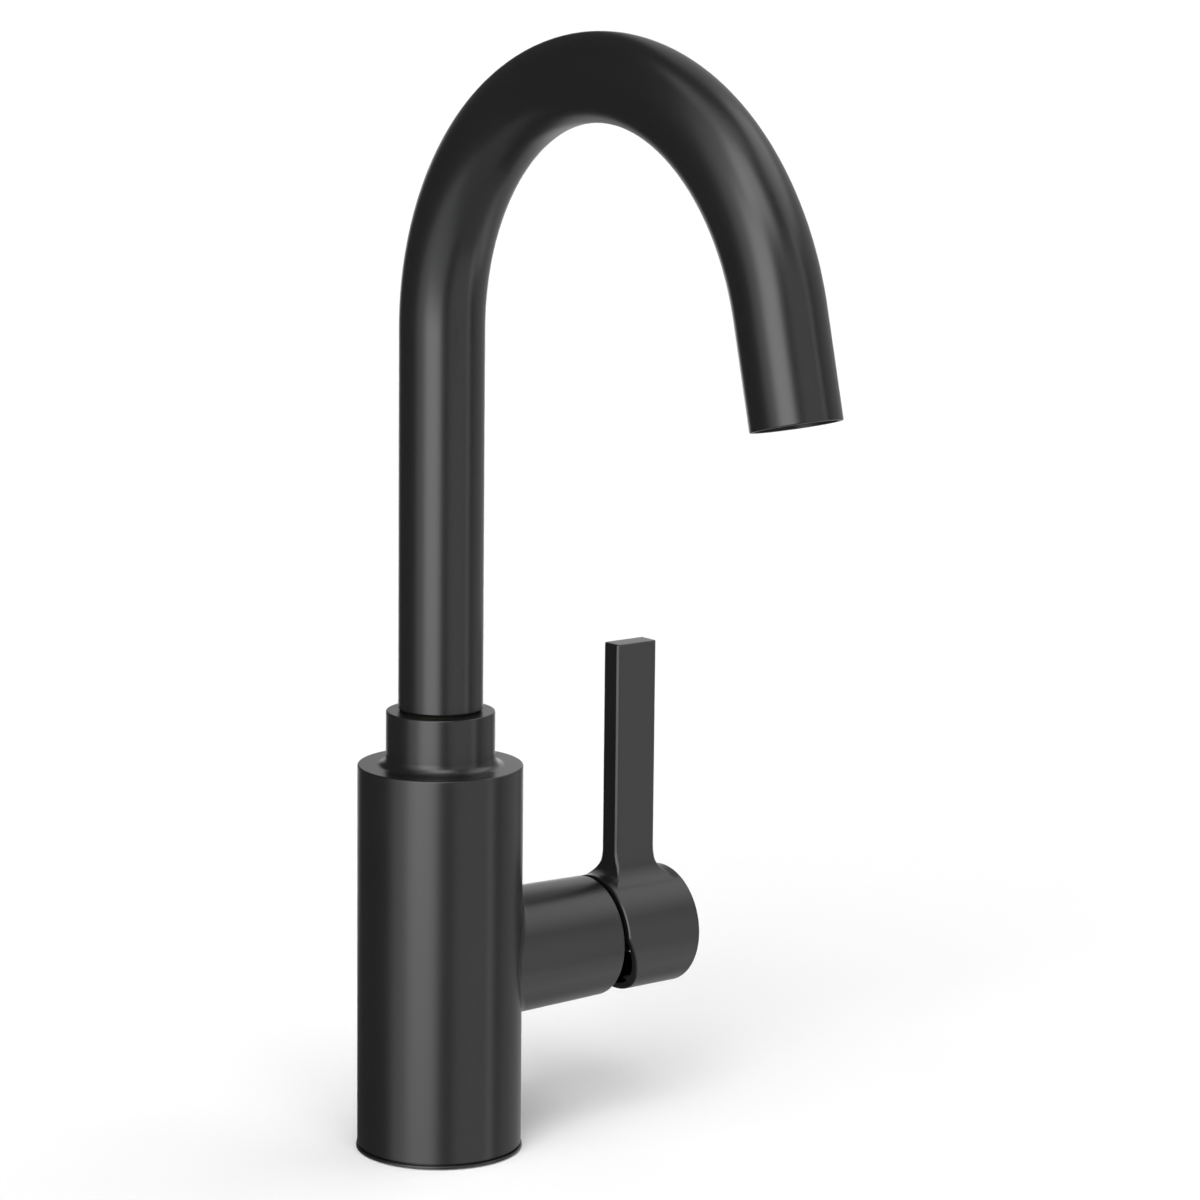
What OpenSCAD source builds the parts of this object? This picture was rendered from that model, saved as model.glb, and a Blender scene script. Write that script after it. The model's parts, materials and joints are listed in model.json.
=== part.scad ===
// Gooseneck bar faucet: a round body with a swivelling spout on top and a single-lever
// ceramic-disc valve in a stub on its right side.
// Millimetres, +Z up. The origin is on the deck, on the body's axis.
// The spout reaches towards -Y at rest, and the handle sits on the +X side.

/* [Body] */
// Diameter of the body cylinder
body_d = 49.7; // [48:0.1:54]
// Height of the body cylinder above the deck
body_top = 118.4; // [112:0.1:124]
// Wall of the body casting
body_wall = 2.6; // [2:0.1:3]
// Diameter of the collar that the spout stands in
collar_d = 32.7; // [31:0.1:36]
// Height of the collar's top above the deck
collar_top = 134.8; // [130:0.1:140]
// Rounding between the body's top and the collar
collar_fillet = 3; // [1:0.1:4]
// Diameter of the ring under the body
ring_d = 50.4; // [50:0.1:56]
// Height of the ring
ring_h = 1.3; // [1:0.1:2]
// Height of the shadow groove between the ring and the body
groove_h = 0.6; // [0.3:0.1:1]
// Rounding of the outer edges
edge = 0.45; // [0.2:0.05:0.8]

/* [Spout] */
// Outer diameter of the spout tube
tube_d = 25.4; // [24.8:0.1:26]
// Wall of the spout tube
tube_wall = 1.2; // [0.8:0.1:1.4]
// Height at which the bend starts
bend_z = 249.5; // [180:0.5:320]
// Radius of the bend, on the tube's centreline
bend_r = 77.4; // [50:0.2:100]
// Angle that the bend turns through
bend_sweep = 165.9; // [120:0.1:180]
// Straight length after the bend
outlet_len = 30.3; // [24:0.1:60]
// Gap between the collar and the tube's lower end
neck_gap = 0.75; // [0.5:0.05:1.5]

/* [Valve] */
// Height of the valve's axis above the deck
valve_z = 56.8; // [50:0.1:70]
// Diameter of the stub where it leaves the body
stub_d = 38.6; // [38:0.1:40]
// Diameter of the stub at its outer end
stub_end_d = 37.2; // [36:0.1:38]
// Distance of the stub's end from the body's axis
stub_end = 56.8; // [56:0.1:58]
// Distance of the handle's tilting pin from the body's axis
pivot_x = 44; // [43.5:0.1:44.2]
// Tilt of the handle from closed to full flow
flow_travel = 20; // [12:1:20]
// Turn of the handle to each side, from mixed to full hot or cold
mix_travel = 45; // [20:1:45]

/* [Handle] */
// Diameter of the handle's hub
hub_d = 37; // [36:0.1:38]
// Distance of the hub's inner rim from the body's axis
hub_start = 58.8; // [58.6:0.1:60]
// Distance of the hub's outer face from the body's axis
hub_end = 86.4; // [85:0.1:92]
// Wall of the hub
hub_wall = 2; // [1.6:0.1:2.2]
// Width of the lever blade
lever_w = 15; // [12:0.1:17]
// Thickness of the lever blade
lever_t = 7; // [5:0.1:9]
// Distance of the blade's middle from the body's axis
lever_x = 72.2; // [71:0.1:73]
// Height of the lever's top above the deck
lever_top = 147.8; // [110:0.2:180]
// Rounding where the blade's narrow edges meet the hub
side_fillet = 4; // [2:0.1:4]
// Rounding where the blade's broad faces meet the hub
face_fillet = 12; // [6:0.5:14]
// Slant of the relief under the hub's inner rim
relief_angle = 22; // [20:0.5:24]

/* [Hidden] */
$fn = 96;

// Overlap that keeps cut faces from lying on each other
eps = 0.5;
// Length that runs through any part
through = 80;
// Depth by which a tangent foot is sunk, so that surfaces cross and don't just touch
sink = 0.04;
// Clearance of a fixed fit, of a shaft that turns in a bore, and of a close sliding fit
fit = 0.15;
running = 0.08;
slip = 0.05;

body_r = body_d / 2;
collar_r = collar_d / 2;
ring_r = ring_d / 2;
cavity_r = body_r - body_wall;
shell_z = ring_h + groove_h;
shell_chamfer = 0.25;
groove_r = body_r - 0.85;
top_wall = 3;
// Where the stub starts inside the body, and where its taper starts
stub_z0 = 15;
taper_z = body_r - 4;

// Deck side: plate, stud and hoses
plate_r = cavity_r - 2.2;
plate_top = 12;
plate_step = 5;
stud_r = 3.4;
stud_depth = 10;
hose_r = 4.5;
hose_depth = 9;
feed_r = 3.6;
feed_x = -3;
feed_y = 8.5;
screw_x = 9;
screw_y = 9.5;
screw_r = 1.7;
screw_head_r = 3.4;
screw_head_h = 3;
screw_sunk = 1.5;
screw_top = plate_top + 8;
screw_key = 1.7;
screw_key_h = 2;
seal_h = 1.2;
seal_play = 0.1;
feed_seal = 1.6;
gasket_in = plate_r + 1;
gasket_out = plate_r + 2.8;
gasket_h = 1;

// Waterway inside the body
core_r = 17;
core_top = body_top - 26;
core_neck = core_top + 6;
cradle = 4;
drain_x = 10.5;
cross_z = body_top - 32;
drain_top = cross_z + 2;
spout_bore_z = cross_z - 4;

// Spout joint
tube_r = tube_d / 2;
tube_in = tube_r - tube_wall;
lap = 0.04;
hair = 0.01;
tube_z = collar_top + neck_gap;
neck_r = collar_r - 4;
socket_r = 9.48;
socket_z = collar_top - 36;
spigot_r = socket_r - running;
spigot_bore = 6;
spigot_z = socket_z + 1.5;
braze_len = 18;
oring_r = 0.95;
oring_seat = 2.4;
oring_zs = [collar_top - 30, collar_top - 13];
clip_z = collar_top - 22.8;
clip_h = 1.4;
clip_w = 1.5;
clip_sunk = 0.7;
clip_turn = 325;
clip_room = 0.82;
clip_slack = 0.4;
clip_seat = 1;
washer_in = 9.8;
washer_out = 12.2;

// Outlet, seen along the flow from the tube's end
tip_y = -bend_r + bend_r * cos(bend_sweep) - outlet_len * sin(bend_sweep);
tip_z = bend_z + bend_r * sin(bend_sweep) + outlet_len * cos(bend_sweep);
adapter_in = tube_in - 1.2;
adapter_recess = 1.6;
adapter_len = 14;
adapter_z = -adapter_recess - adapter_len;
adapter_floor = 1.4;
adapter_hole = 8;
washer_h = 1.2;
insert_r = adapter_in - 0.1;
insert_in = insert_r - 1;
insert_z = -12.8;
insert_len = 10.6;
insert_lip = 0.6;
key_count = 4;
key_w = 2;
key_h = 0.7;
meter_z = -12;
meter_h = 3.2;
meter_floor = 1.2;
meter_hub = 3.5;
meter_rim = 1;
meter_holes = 12;
meter_mid = 6;
meter_hole = 0.8;
comb_z = -5.2;
comb_h = 2.4;
comb_rim = 1.4;
comb_cell = 2.1;
comb_wall = 0.35;
comb_rings = 4;

// Cartridge, seen along the valve's axis
seat = 14;
cart_r = 14;
cart_bore = 12.5;
port_y = 4.4;
port_up = 2.6;
port_r = 2.1;
port_z = feed_x - 2;
drain_up = -5.5;
drain_r = 2.8;
port_seal = 1.3;
fixed_r = 12;
disc_r = 9.6;
pocket_up = -2;
pocket_r = 4.6;
pocket_h = 1.8;
// Two dogs on the driver, which stand in notches of the moving disc
dog_w = 3;
dog_t = 1.4;
dog_y = 7.4;
dog_h = 1.5;
notch_y = 8.2;
notch_t = 3.2;
driver_w = 16.4;
disc_rest = -2.4;
stub_bore = 16.2;
base_h = 5;
disc_z = seat + 3.5;
slide_z = disc_z + 3;
driver_z = slide_z + 3.5;
ball_z = pivot_x - 14;
ball_r = 2.6;
ball_play = 0.4;
ball_under = 0.6;
ball_neck = 1.9;
driver_end = ball_z + 1.2;
carrier_z = driver_end + 0.6;
carrier_end = 49;
carrier_r = cart_bore - running;
lip_z = carrier_end + 0.3;
housing_end = lip_z + 1.7;
stop_z = carrier_end - 3;
stop_lug = 10;
lug_in = 8;
stop_in = 11.3;
carrier_neck = 11;
carrier_gap = 0.6;
guide_w = 17;
slot_len = 15;
slot_play = 0.3;
stem_w = 7;
stem_end = hub_end - 7;
eye_r = 5.2;
pin_r = 1.75;
pin_len = 22;
mouth_r = 10.6;
nut_h = 9.8;
nut_floor = 1.6;
nut_in = 14.4;
dome_r = 20.3;
dome_wall = 1.8;
dome_hole = dome_r * sin(flow_travel) + stem_w / 2 + 0.95;

// Handle
hub_r = hub_d / 2;
hub_in = hub_r - hub_wall;
hub_face = 3.5;
boss_r = 7.2;
boss_z = 66.5;
blade_h = lever_top - valve_z;
blade_z0 = lever_x - lever_w / 2;
blade_z1 = lever_x + lever_w / 2;
relief_up = 2;
relief_room = 40;
foot_in = 1;
foot_out = 0.3;
socket_end = hub_end - 6.5;
grub_z = 74;
grub_r = 2.5;
grub_h = 4;
grub_key = 1.45;
grub_key_h = 2;

// Points of an arc, for rounded corners in an outline
function arc(x, y, r, a0, a1, n = 5) =
    [for (i = [0 : n]) let (a = a0 + (a1 - a0) * i / n) [x + r * cos(a), y + r * sin(a)]];

// Places a part on the valve's axis: its Z points out of the body, its X points up
module on_valve_axis() {
    translate([0, 0, valve_z])
        rotate([0, 90, 0])
            rotate([0, 0, 180])
                children();
}

// Places a part at the spout's end: its Z points along the flow, and 0 is the tube's end
module at_outlet() {
    translate([0, tip_y, tip_z])
        rotate([bend_sweep, 0, 0])
            children();
}

// A ring with a square section
module ring(r_out, r_in, h) {
    difference() {
        cylinder(h = h, r = r_out);
        translate([0, 0, -eps])
            cylinder(h = h + 2 * eps, r = r_in);
    }
}

// A ring with a round section
module oring(r_mid, r_section) {
    rotate_extrude()
        translate([r_mid, 0])
            circle(r = r_section, $fn = 32);
}

// The ring on the deck, with a step that carries the body and a groove for the gasket
module base_ring() {
    color("#26282a")
        difference() {
            rotate_extrude()
                polygon(concat(
                    [[plate_r + fit, 0]],
                    arc(ring_r - edge / 2, edge / 2, edge / 2, -90, 0, 3),
                    arc(ring_r - edge, ring_h - edge, edge, 0, 90, 4),
                    [
                        [groove_r, ring_h], [groove_r, shell_z],
                        [cavity_r - fit, shell_z], [cavity_r - fit, plate_step],
                        [plate_r + fit, plate_step]
                    ]));
            translate([0, 0, -eps])
                ring(gasket_out, gasket_in, gasket_h + eps);
        }
}

module base_gasket() {
    color("#151515")
        ring(gasket_out, gasket_in, gasket_h);
}

module at_feeds() {
    for (side = [-1, 1])
        translate([feed_x, side * feed_y, 0])
            children();
}

module at_screws() {
    for (side = [-1, 1])
        translate([screw_x, side * screw_y, 0])
            children();
}

// Closes the body below: stud hole in the middle, two hose sockets and two screws
module base_plate() {
    color("#b99a5b")
        difference() {
            union() {
                cylinder(h = plate_top, r = plate_r);
                translate([0, 0, plate_step])
                    cylinder(h = plate_top - plate_step, r = cavity_r - fit);
            }
            translate([0, 0, -eps])
                cylinder(h = stud_depth + eps, r = stud_r);
            at_feeds() {
                translate([0, 0, -eps])
                    cylinder(h = hose_depth + eps, r = hose_r);
                cylinder(h = plate_top + eps, r = feed_r);
                translate([0, 0, plate_top - seal_h])
                    cylinder(h = seal_h + eps, r = feed_r + feed_seal);
            }
            at_screws() {
                translate([0, 0, -eps])
                    cylinder(h = screw_sunk + screw_head_h + eps, r = screw_head_r + fit);
                cylinder(h = plate_top + eps, r = screw_r + fit);
            }
        }
}

module plate_screws() {
    color("#9a9da0")
        at_screws()
            difference() {
                union() {
                    translate([0, 0, screw_sunk])
                        cylinder(h = screw_head_h, r = screw_head_r);
                    translate([0, 0, screw_sunk])
                        cylinder(h = screw_top - screw_sunk, r = screw_r);
                }
                translate([0, 0, screw_sunk - eps])
                    cylinder(h = screw_key_h + eps, r = screw_key, $fn = 6);
            }
}

module plate_seals() {
    color("#151515")
        at_feeds()
            translate([0, 0, plate_top - seal_h])
                ring(feed_r + feed_seal - seal_play, feed_r + seal_play, seal_h);
}

// The visible casting: body cylinder, collar on top and valve stub on the side
module body_shell() {
    color("#26282a")
        difference() {
            union() {
                rotate_extrude()
                    polygon(concat(
                        [
                            [0, shell_z], [body_r - shell_chamfer, shell_z],
                            [body_r, shell_z + shell_chamfer]
                        ],
                        arc(body_r - edge, body_top - edge, edge, 0, 90),
                        arc(collar_r + collar_fillet, body_top + collar_fillet, collar_fillet, -90, -180, 8),
                        arc(collar_r - edge, collar_top - edge, edge, 0, 90),
                        [[0, collar_top]]));
                on_valve_axis()
                    rotate_extrude()
                        polygon(concat(
                            [[0, stub_z0], [stub_d / 2, stub_z0], [stub_d / 2, taper_z]],
                            arc(stub_end_d / 2 - edge, stub_end - edge, edge, 0, 90),
                            [[0, stub_end]]));
            }
            translate([0, 0, -eps])
                cylinder(h = body_top - top_wall + eps, r = cavity_r);
            cylinder(h = collar_top + eps, r = neck_r + fit);
            on_valve_axis()
                cylinder(h = stub_end + eps, r = stub_bore);
        }
}

// The waterway: two feeds up to the cartridge, one drain back up to the spout socket
module valve_body() {
    color("#b99a5b")
        difference() {
            union() {
                translate([0, 0, plate_top])
                    cylinder(h = core_top - plate_top, r = core_r);
                translate([0, 0, core_top])
                    cylinder(h = core_neck - core_top, r1 = core_r, r2 = neck_r);
                translate([0, 0, core_neck])
                    cylinder(h = collar_top - core_neck, r = neck_r);
                on_valve_axis()
                    cylinder(h = seat + cradle, r = stub_bore - 2 * fit);
            }
            at_feeds()
                translate([0, 0, plate_top - eps])
                    cylinder(h = valve_z + port_up - plate_top + eps, r = feed_r);
            at_screws()
                translate([0, 0, plate_top - eps])
                    cylinder(h = screw_top - plate_top + 2 * eps, r = screw_r);
            on_valve_axis() {
                translate([0, 0, seat])
                    cylinder(h = cradle + eps, r = cart_r + slip);
                translate([0, 0, port_z])
                    at_ports()
                        cylinder(h = seat - port_z + eps, r = port_r);
                translate([drain_up, 0, -drain_x])
                    cylinder(h = seat + drain_x + eps, r = drain_r);
            }
            translate([-drain_x, 0, valve_z + drain_up])
                cylinder(h = drain_top - valve_z - drain_up, r = drain_r);
            translate([-drain_x, 0, cross_z])
                rotate([0, 90, 0])
                    cylinder(h = drain_x, r = drain_r);
            translate([0, 0, spout_bore_z])
                cylinder(h = socket_z - spout_bore_z + eps, r = spigot_bore);
            translate([0, 0, socket_z])
                cylinder(h = collar_top - socket_z + eps, r = socket_r);
            translate([0, 0, clip_z - clip_h / 2 - seal_play])
                cylinder(h = clip_h + 2 * seal_play, r = socket_r + clip_room);
        }
}

// The split ring that keeps the spout's spigot in its socket
module retaining_clip() {
    color("#9a9da0")
        translate([0, 0, clip_z - clip_h / 2])
            rotate_extrude(angle = clip_turn)
                translate([spigot_r - clip_sunk, 0])
                    square([clip_w, clip_h]);
}

module glide_washer() {
    color("#1b1b1c")
        translate([0, 0, collar_top])
            ring(washer_out, washer_in, neck_gap - slip);
}

// The spout's centreline as a solid rod, run past both ends by a small length.
// The outlet laps the bend and is a hair wider, so that the two meet on a plain shoulder.
module spout_rod(r, past = 0) {
    $fn = 60;
    translate([0, 0, tube_z - past])
        cylinder(h = bend_z - tube_z + past, r = r);
    translate([0, -bend_r, bend_z])
        rotate([90, 0, 90])
            rotate_extrude(angle = bend_sweep)
                translate([bend_r, 0])
                    circle(r = r);
    at_outlet()
        translate([0, 0, -outlet_len - lap])
            cylinder(h = outlet_len + lap + past, r = r + hair);
}

module spout_tube() {
    color("#26282a")
        difference() {
            spout_rod(tube_r);
            spout_rod(tube_in, past = eps);
        }
}

// The spigot at the foot of the spout, brazed into the tube
module spout_shank() {
    color("#b99a5b")
        difference() {
            union() {
                translate([0, 0, spigot_z])
                    cylinder(h = tube_z - spigot_z + eps, r = spigot_r);
                translate([0, 0, tube_z])
                    cylinder(h = braze_len, r = tube_in);
            }
            translate([0, 0, spigot_z - eps])
                cylinder(h = through, r = spigot_bore);
            for (z = oring_zs)
                translate([0, 0, z - oring_seat / 2])
                    ring(spigot_r + eps, spigot_r - 2 * oring_r, oring_seat);
            translate([0, 0, clip_z - clip_h / 2 - clip_slack])
                ring(spigot_r + eps, spigot_r - clip_seat, clip_h + 2 * clip_slack);
        }
}

module spout_orings() {
    color("#151515")
        for (z = oring_zs)
            translate([0, 0, z])
                oring(spigot_r - oring_r, oring_r);
}

// The threaded ring brazed in the spout's end, which holds the aerator insert
module outlet_adapter() {
    color("#2c2e30")
        at_outlet()
            difference() {
                translate([0, 0, adapter_z])
                    cylinder(h = adapter_len, r = tube_in);
                translate([0, 0, adapter_z + adapter_floor])
                    cylinder(h = adapter_len, r = adapter_in);
                translate([0, 0, adapter_z - eps])
                    cylinder(h = adapter_floor + 2 * eps, r = adapter_hole);
            }
}

module aerator_gasket() {
    color("#151515")
        at_outlet()
            translate([0, 0, adapter_z + adapter_floor])
                ring(insert_r, adapter_hole, washer_h);
}

// Disc with a ring of metering slots round a blind middle
module flow_regulator() {
    color("#3a6ea5")
        at_outlet()
            translate([0, 0, meter_z])
                difference() {
                    cylinder(h = meter_h, r = insert_in);
                    translate([0, 0, meter_floor])
                        ring(insert_in - meter_rim, meter_hub, meter_h);
                    for (i = [1 : meter_holes])
                        rotate([0, 0, i * 360 / meter_holes])
                            translate([meter_mid, 0, -eps])
                                cylinder(h = meter_h, r = meter_hole, $fn = 24);
                }
}

// The honeycomb that straightens the stream
module aerator_straightener() {
    color("#4a4c4e")
        at_outlet()
            translate([0, 0, comb_z])
                linear_extrude(height = comb_h)
                    difference() {
                        circle(r = insert_in);
                        for (q = [-comb_rings : comb_rings])
                            for (s = [max(-comb_rings, -comb_rings - q) : min(comb_rings, comb_rings - q)])
                                translate([comb_cell * (q + s / 2), comb_cell * s * sqrt(3) / 2])
                                    if (norm([q + s / 2, s * sqrt(3) / 2]) * comb_cell < insert_in - comb_rim)
                                        rotate(30)
                                            circle(r = (comb_cell - comb_wall) / sqrt(3), $fn = 6);
                    }
}

// The insert's cup, with an inner lip and notches for the key that unscrews it
module aerator_housing() {
    color("#2c2e30")
        at_outlet()
            difference() {
                translate([0, 0, insert_z])
                    cylinder(h = insert_len, r = insert_r);
                translate([0, 0, insert_z - eps])
                    cylinder(h = insert_len + eps - insert_lip, r = insert_in);
                translate([0, 0, insert_z])
                    cylinder(h = insert_len + eps, r = insert_in - insert_lip);
                for (i = [1 : key_count])
                    rotate([0, 0, (i - 0.5) * 360 / key_count])
                        translate([insert_in - insert_lip - eps, -key_w / 2, insert_z + insert_len - key_h])
                            cube([2 * key_w, key_w, key_w]);
            }
}

module at_ports() {
    for (side = [-1, 1])
        translate([port_up, side * port_y, 0])
            children();
}

module cartridge_base() {
    color("#e6e3da")
        on_valve_axis()
            difference() {
                translate([0, 0, seat])
                    cylinder(h = base_h, r = cart_r);
                translate([0, 0, disc_z])
                    cylinder(h = base_h, r = fixed_r + slip);
                at_ports() {
                    cylinder(h = through, r = port_r);
                    translate([0, 0, seat - eps])
                        cylinder(h = seal_h + eps, r = port_r + port_seal);
                }
                translate([drain_up, 0, 0]) {
                    cylinder(h = through, r = drain_r);
                    translate([0, 0, seat - eps])
                        cylinder(h = seal_h + eps, r = drain_r + port_seal);
                }
            }
}

module port_seals() {
    color("#151515")
        on_valve_axis()
            translate([0, 0, seat]) {
                at_ports()
                    ring(port_r + port_seal - seal_play, port_r + seal_play, seal_h);
                translate([drain_up, 0, 0])
                    ring(drain_r + port_seal - seal_play, drain_r + seal_play, seal_h);
            }
}

module fixed_disc() {
    color("#f2efe8")
        on_valve_axis()
            translate([0, 0, disc_z])
                difference() {
                    cylinder(h = slide_z - disc_z, r = fixed_r);
                    translate([0, 0, -eps]) {
                        at_ports()
                            cylinder(h = through, r = port_r);
                        translate([drain_up, 0, 0])
                            cylinder(h = through, r = drain_r);
                    }
                }
}

// The disc that slides and turns: its pocket joins the feeds to the drain when it is raised
module moving_disc() {
    color("#f2efe8")
        on_valve_axis()
            translate([disc_rest, 0, slide_z])
                difference() {
                    cylinder(h = driver_z - slide_z, r = disc_r);
                    translate([pocket_up, 0, -eps])
                        cylinder(h = pocket_h + eps, r = pocket_r);
                    for (side = [-1, 1])
                        translate([
                            -dog_w / 2 - seal_play, side * notch_y - notch_t / 2,
                            driver_z - slide_z - dog_h - seal_play
                        ])
                            cube([dog_w + 2 * seal_play, notch_t, dog_h + eps]);
                }
}

module disc_driver() {
    color("#d8d3c4")
        on_valve_axis()
            difference() {
                translate([disc_rest, 0, driver_z])
                    union() {
                        intersection() {
                            cylinder(h = driver_end - driver_z, r = disc_r);
                            translate([-disc_r - eps, -driver_w / 2, -eps])
                                cube([2 * disc_r + 2 * eps, driver_w, through]);
                        }
                        for (side = [-1, 1])
                            translate([-dog_w / 2, side * dog_y - dog_t / 2, -dog_h])
                                cube([dog_w, dog_t, dog_h + eps]);
                    }
                translate([0, 0, ball_z - ball_r - ball_under])
                    cylinder(h = through, r = ball_r + ball_play);
            }
}

// Turns in the housing with the handle, carries the tilting pin and guides the driver
module stem_carrier() {
    color("#3b3d40")
        on_valve_axis()
            difference() {
                union() {
                    translate([0, 0, carrier_z])
                        cylinder(h = stop_z - carrier_z, r = carrier_r);
                    translate([0, 0, stop_z - eps])
                        cylinder(h = carrier_end - stop_z + eps, r = carrier_neck);
                    translate([0, 0, stop_z - eps])
                        rotate([0, 0, 180 - stop_lug])
                            rotate_extrude(angle = 2 * stop_lug)
                                translate([lug_in, 0])
                                    square([carrier_r - seal_play - lug_in, carrier_end - stop_z + eps]);
                    difference() {
                        translate([0, 0, driver_z + carrier_gap])
                            cylinder(h = carrier_z - driver_z, r = carrier_r);
                        translate([-cart_r, -guide_w / 2, driver_z])
                            cube([2 * cart_r, guide_w, carrier_z - driver_z]);
                    }
                }
                translate([-slot_len / 2, -stem_w / 2 - slot_play, driver_z])
                    cube([slot_len, stem_w + 2 * slot_play, through]);
                translate([0, 0, pivot_x])
                    rotate([90, 0, 0])
                        cylinder(h = through, r = pin_r, center = true);
            }
}

module stem_pin() {
    color("#9a9da0")
        on_valve_axis()
            translate([0, 0, pivot_x])
                rotate([90, 0, 0])
                    cylinder(h = pin_len, r = pin_r, center = true);
}

// Square stem with an eye on the pin and a ball that pushes the driver
module stem() {
    color("#b99a5b")
        on_valve_axis()
            difference() {
                union() {
                    translate([0, 0, ball_z])
                        sphere(r = ball_r);
                    translate([0, 0, ball_z])
                        cylinder(h = pivot_x - ball_z, r = ball_neck);
                    translate([0, 0, pivot_x])
                        rotate([90, 0, 0])
                            cylinder(h = stem_w, r = eye_r, center = true);
                    translate([-stem_w / 2, -stem_w / 2, pivot_x])
                        cube([stem_w, stem_w, stem_end - pivot_x]);
                }
                translate([0, 0, pivot_x])
                    rotate([90, 0, 0])
                        cylinder(h = through, r = pin_r + slip, center = true);
            }
}

module cartridge_housing() {
    color("#3b3d40")
        on_valve_axis()
            difference() {
                translate([0, 0, seat + base_h])
                    cylinder(h = housing_end - seat - base_h, r = cart_r);
                translate([0, 0, seat])
                    cylinder(h = lip_z - seat, r = cart_bore);
                cylinder(h = through, r = mouth_r);
            }
}

// Open ring whose ends stop the carrier's lug at full hot and full cold
module temperature_stop() {
    color("#b3382c")
        on_valve_axis()
            translate([0, 0, stop_z + 3 * seal_play])
                rotate([0, 0, 180 + stop_lug + mix_travel + 1])
                    rotate_extrude(angle = 358 - 2 * stop_lug - 2 * mix_travel)
                        translate([stop_in, 0])
                            square([cart_bore - stop_in, carrier_end - stop_z - 4 * seal_play]);
}

// Threaded nut that clamps the cartridge, domed round the tilting pin
module bonnet_nut() {
    color("#26282a")
        on_valve_axis()
            difference() {
                intersection() {
                    translate([0, 0, housing_end])
                        cylinder(h = nut_h, r = stub_bore - seal_play);
                    translate([0, 0, pivot_x])
                        sphere(r = dome_r);
                }
                intersection() {
                    translate([0, 0, housing_end + nut_floor])
                        cylinder(h = through, r = nut_in);
                    translate([0, 0, pivot_x])
                        sphere(r = dome_r - dome_wall);
                }
                cylinder(h = through, r = dome_hole);
            }
}

// Outline of the blade seen along the valve's axis, with its foot spread on the hub
module blade_front() {
    foot_y = lever_t / 2 + face_fillet;
    foot_x = sqrt(pow(hub_r - sink + face_fillet, 2) - foot_y * foot_y);
    touch = (hub_r - sink) / (hub_r - sink + face_fillet);
    difference() {
        polygon([
            [foot_x * touch - foot_in, -foot_y * touch - foot_out],
            [foot_x * touch, -foot_y * touch],
            [foot_x, -lever_t / 2], [blade_h, -lever_t / 2],
            [blade_h, lever_t / 2], [foot_x, lever_t / 2],
            [foot_x * touch, foot_y * touch],
            [foot_x * touch - foot_in, foot_y * touch + foot_out]
        ]);
        for (side = [-1, 1])
            translate([foot_x, side * foot_y])
                circle(r = face_fillet);
    }
}

// Outline of the blade seen from the front, turned round the valve's axis
module blade_side() {
    difference() {
        translate([hub_in + eps, blade_z0 - side_fillet])
            square([blade_h, lever_w + 2 * side_fillet]);
        for (z = [blade_z0 - side_fillet, blade_z1 + side_fillet]) {
            translate([hub_r - sink + side_fillet, z])
                circle(r = side_fillet);
            translate([hub_r - sink + side_fillet, z - side_fillet])
                square([blade_h, 2 * side_fillet]);
        }
    }
}

// Hub and lever in one casting, with the slanted relief that lets the hub tilt
module handle() {
    color("#26282a")
        on_valve_axis()
            difference() {
                union() {
                    rotate_extrude()
                        polygon(concat(
                            [[0, hub_start]],
                            arc(hub_r - edge / 2, hub_start + edge / 2, edge / 2, -90, 0, 3),
                            arc(hub_r - edge, hub_end - edge, edge, 0, 90),
                            [[0, hub_end]]));
                    intersection() {
                        translate([0, 0, hub_start])
                            linear_extrude(height = hub_end - hub_start)
                                blade_front();
                        rotate_extrude()
                            blade_side();
                    }
                }
                difference() {
                    translate([0, 0, hub_start - eps])
                        cylinder(h = hub_end - hub_face - hub_start + eps, r = hub_in);
                    translate([0, 0, boss_z])
                        cylinder(h = through, r = boss_r);
                }
                translate([-stem_w / 2 - slip, -stem_w / 2 - slip, boss_z - eps])
                    cube([stem_w + 2 * slip, stem_w + 2 * slip, socket_end - boss_z + eps]);
                translate([relief_up, 0, hub_start])
                    rotate([0, relief_angle, 0])
                        translate([-relief_room, -relief_room, -relief_room])
                            cube([relief_room, 2 * relief_room, relief_room]);
                translate([-hub_r - 1, 0, grub_z])
                    rotate([0, 90, 0])
                        cylinder(h = hub_r, r = grub_r);
            }
}

module handle_screw() {
    color("#9a9da0")
        on_valve_axis()
            translate([-stem_w / 2 - slip, 0, grub_z])
                rotate([0, -90, 0])
                    difference() {
                        cylinder(h = grub_h, r = grub_r);
                        translate([0, 0, grub_h - grub_key_h])
                            cylinder(h = grub_h, r = grub_key, $fn = 6);
                    }
}

base_ring();
base_gasket();
base_plate();
plate_screws();
plate_seals();
body_shell();
valve_body();
retaining_clip();
glide_washer();
spout_tube();
spout_shank();
spout_orings();
outlet_adapter();
aerator_gasket();
flow_regulator();
aerator_straightener();
aerator_housing();
cartridge_base();
port_seals();
fixed_disc();
moving_disc();
disc_driver();
stem_carrier();
stem_pin();
stem();
cartridge_housing();
temperature_stop();
bonnet_nut();
handle();
handle_screw();
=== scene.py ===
# Gooseneck bar faucet in a fine matte black coating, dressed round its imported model.
# Shapes are worked out in millimetres and turned into metres when a mesh is made.
import json
import math
import bpy
import numpy as np
from mathutils import Matrix, Vector


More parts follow.
